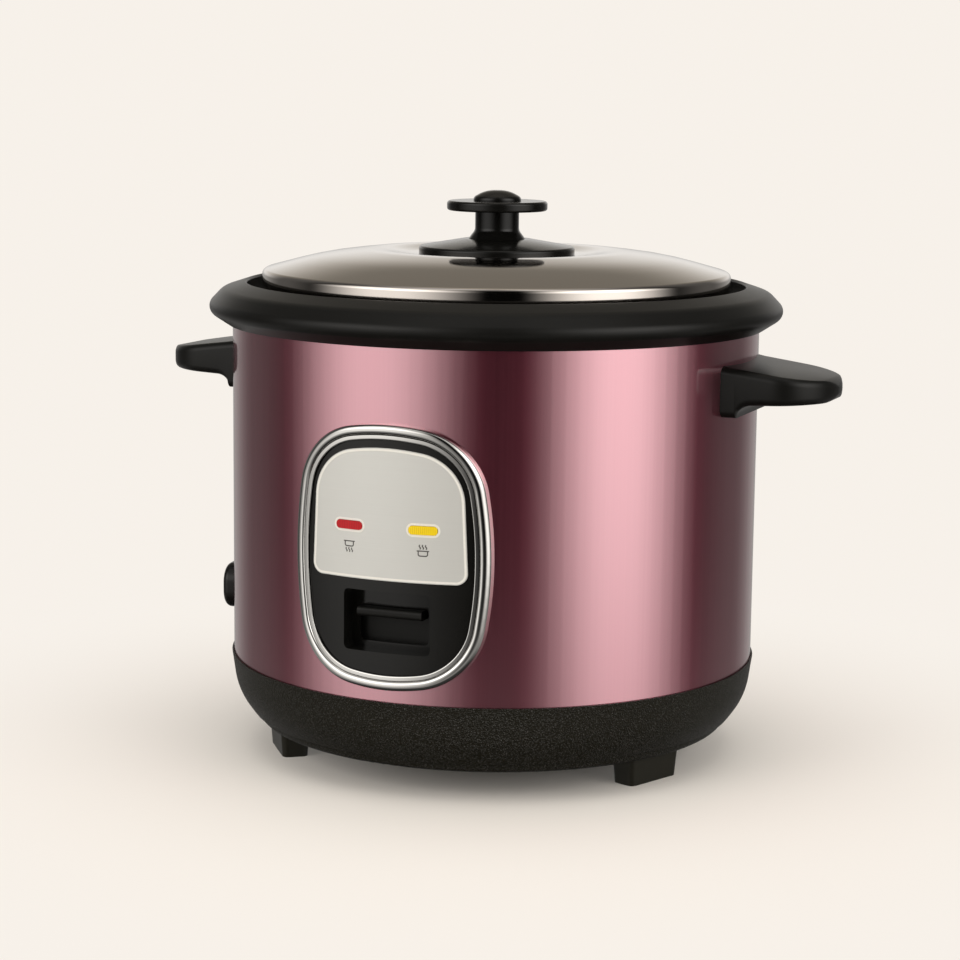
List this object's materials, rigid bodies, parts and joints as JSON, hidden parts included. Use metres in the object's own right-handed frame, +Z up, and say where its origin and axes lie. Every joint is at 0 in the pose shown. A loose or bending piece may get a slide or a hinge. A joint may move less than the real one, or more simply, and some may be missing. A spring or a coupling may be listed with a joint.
{
  "type": "rice cooker",
  "caption": "Free-standing electric rice cooker: round painted shell on a black tray, lift-off domed lid, lift-out pot, side handles, and a front panel with a cook lever and lamps.",
  "frame": {"origin": "on the table, below the axis of the shell", "axes": "+Z up along the axis of the shell, -Y out of the control panel, +X towards the right-hand handle as seen from the front"},
  "size_m": [0.337, 0.2718, 0.2664],
  "materials": {
    "shell_paint": "satin metallic, finely brushed",
    "black_grain": "moulded, coarse grain",
    "black_satin": "satin",
    "black_gloss": "glossy",
    "polished_steel": "mirror polished",
    "sheet_steel": "plain sheet",
    "chrome_trim": "bright plating",
    "cast_aluminium": "machined casting",
    "pot_aluminium": "satin",
    "label_silver": "printed silver, bare of words",
    "lens_red": "clear red",
    "lens_amber": "clear amber",
    "lamp_glass": "clear",
    "ceramic_white": "fired, unglazed",
    "ferrite_grey": "sintered",
    "switch_case": "moulded",
    "terminal_brass": "plain",
    "spring_steel": "drawn wire"
  },
  "bodies": {
    "housing": {"base_tray": "black_grain", "foot_left": "black_grain", "foot_right": "black_grain", "foot_rear": "black_grain", "outer_shell": "shell_paint", "top_ring": "black_satin", "inner_liner": "sheet_steel", "handle_left": "black_satin", "handle_right": "black_satin", "handle_screws": "sheet_steel", "panel_bezel": "chrome_trim", "bezel_clips": "spring_steel", "panel_fascia": "black_gloss", "label_plate": "label_silver", "cook_lens": "lens_red", "warm_lens": "lens_amber", "cook_lamp": "lamp_glass", "warm_lamp": "lamp_glass", "inlet_socket": "black_gloss", "inlet_pins": "terminal_brass", "heating_plate": "cast_aluminium", "plate_screws": "sheet_steel", "heater_terminals": "sheet_steel", "terminal_bushes": "ceramic_white", "sensor_sleeve": "sheet_steel", "sensor_spring": "spring_steel", "magnet_spring": "spring_steel", "lever_bracket": "sheet_steel", "lever_pivot_pin": "sheet_steel", "bracket_rivets": "sheet_steel", "micro_switch": "switch_case", "switch_terminals": "terminal_brass", "warm_thermostat": "ceramic_white", "thermal_fuse": "ceramic_white", "fuse_clip": "sheet_steel", "tie_posts": "sheet_steel", "base_screws": "sheet_steel"},
    "sensor": {"sensor_cap": "cast_aluminium", "sensor_ferrite": "ferrite_grey"},
    "magnet": {"magnet_rod": "sheet_steel", "magnet_disc": "ferrite_grey"},
    "lever": {"lever_arm": "sheet_steel", "lever_knob": "black_gloss"},
    "plunger": {"switch_plunger": "lens_red"},
    "pot": {"inner_pot": "pot_aluminium"},
    "lid": {"lid_shell": "polished_steel", "lid_knob_base": "black_gloss", "lid_knob": "black_gloss", "lid_knob_cap": "black_gloss", "lid_knob_screw": "sheet_steel", "lid_knob_washer": "sheet_steel"}
  },
  "joints": [
    {"name": "pot_lift", "type": "slide", "parent": "housing", "child": "pot", "axis": [0, 0, 1], "range_m": [0, 0.14]},
    {"name": "lid_lift", "type": "slide", "parent": "pot", "child": "lid", "axis": [0, 0, 1], "range_m": [0, 0.12]},
    {"name": "cook_lever", "type": "hinge", "parent": "housing", "child": "lever", "pos_m": [0, -0.045, 0.066], "axis": [1, 0, 0], "range_deg": [0, 4.5], "stiffness_Nm_per_rad": 0.05, "springref_deg": -11.46},
    {"name": "magnet_lift", "type": "slide", "parent": "housing", "child": "magnet", "axis": [0, 0, 1], "range_m": [0, 0.0036], "deforming": ["magnet_spring"]},
    {"name": "plunger_slide", "type": "slide", "parent": "housing", "child": "plunger", "axis": [0, 0, 1], "range_m": [0, 0.0013]},
    {"name": "sensor_press", "type": "slide", "parent": "housing", "child": "sensor", "axis": [0, 0, 1], "range_m": [-0.0015, 0], "stiffness_N_per_m": 500, "springref_m": 0.003, "deforming": ["sensor_spring"]}
  ],
  "couplings": [
    {"joint": "magnet_lift", "follows": "cook_lever", "m_per_rad": 0.045},
    {"joint": "plunger_slide", "follows": "cook_lever", "m_per_rad": 0.015}
  ]
}
